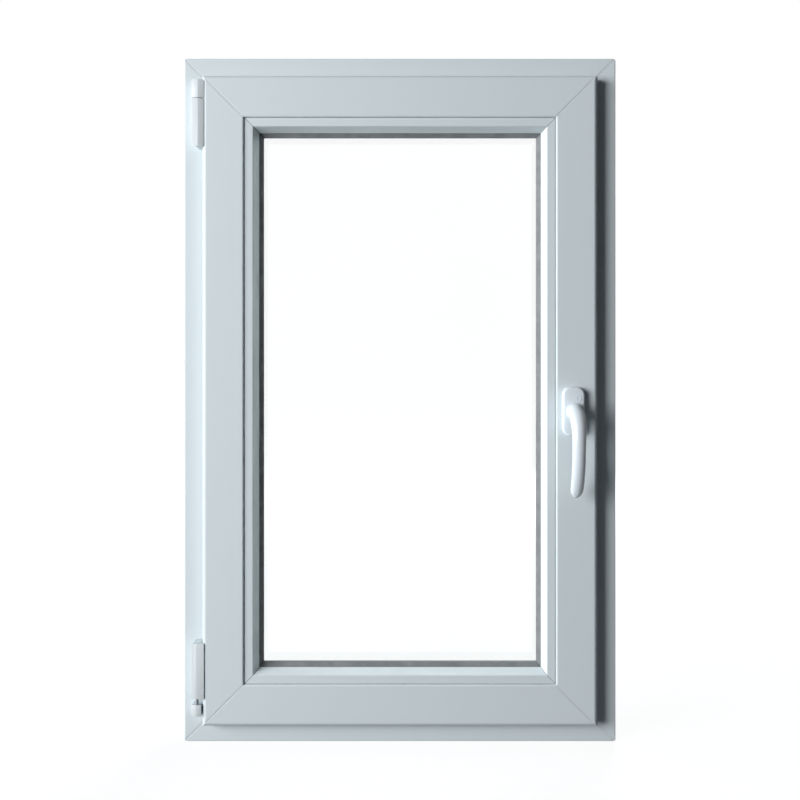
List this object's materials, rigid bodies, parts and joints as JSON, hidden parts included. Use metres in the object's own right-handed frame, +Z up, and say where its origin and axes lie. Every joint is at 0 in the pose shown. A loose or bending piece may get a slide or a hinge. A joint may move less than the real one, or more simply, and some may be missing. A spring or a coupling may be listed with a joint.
{
  "type": "pvc window",
  "caption": "White plastic casement window with a welded frame and sash, double glazing, side hinges and a turning lever handle.",
  "frame": {"origin": "on the underside of the frame, in the middle of its width and its depth", "axes": "+X to the right as seen from the room, +Y from the room to the outside, +Z up"},
  "size_m": [0.6, 0.1514, 0.95],
  "materials": {
    "white_profile": "satin white extruded plastic",
    "white_bead": "satin white extruded plastic",
    "clear_glass": "clear float glass",
    "grey_gasket": "matt grey seal",
    "spacer_bar": "plain mill aluminium",
    "edge_sealant": "dull black sealant",
    "glazing_block": "moulded plastic packer",
    "hinge_cover": "gloss white moulding",
    "steel": "zinc plated steel",
    "handle_white": "gloss white powder coat",
    "drain_cap": "white moulded plastic"
  },
  "bodies": {
    "window": {"frame_sill": "white_profile", "frame_hinge_jamb": "white_profile", "frame_head": "white_profile", "frame_lock_jamb": "white_profile", "sash_bottom_rail": "white_profile", "sash_hinge_stile": "white_profile", "sash_top_rail": "white_profile", "sash_lock_stile": "white_profile", "bead_bottom": "white_bead", "bead_hinge_side": "white_bead", "bead_top": "white_bead", "bead_lock_side": "white_bead", "inner_pane": "clear_glass", "outer_pane": "clear_glass", "glass_spacer": "spacer_bar", "glass_edge_seal": "edge_sealant", "glazing_blocks": "glazing_block", "bead_gasket": "grey_gasket", "outer_glazing_gasket": "grey_gasket", "frame_gasket": "grey_gasket", "sash_gasket": "grey_gasket", "top_hinge_bearing": "hinge_cover", "top_hinge_band": "hinge_cover", "top_hinge_pin": "steel", "bottom_hinge_bearing": "hinge_cover", "bottom_hinge_band": "hinge_cover", "bottom_hinge_pin": "steel", "handle_base": "steel", "rosette_screws": "steel", "handle_rosette": "handle_white", "drain_cap_left": "drain_cap", "drain_cap_right": "drain_cap"},
    "handle": {"handle_lever": "handle_white", "handle_spindle": "steel"}
  },
  "joints": [
    {"name": "handle_turn", "type": "hinge", "parent": "window", "child": "handle", "pos_m": [0.2365, -0.065, 0.461], "axis": [0, 1, 0], "range_deg": [0, 180]}
  ]
}
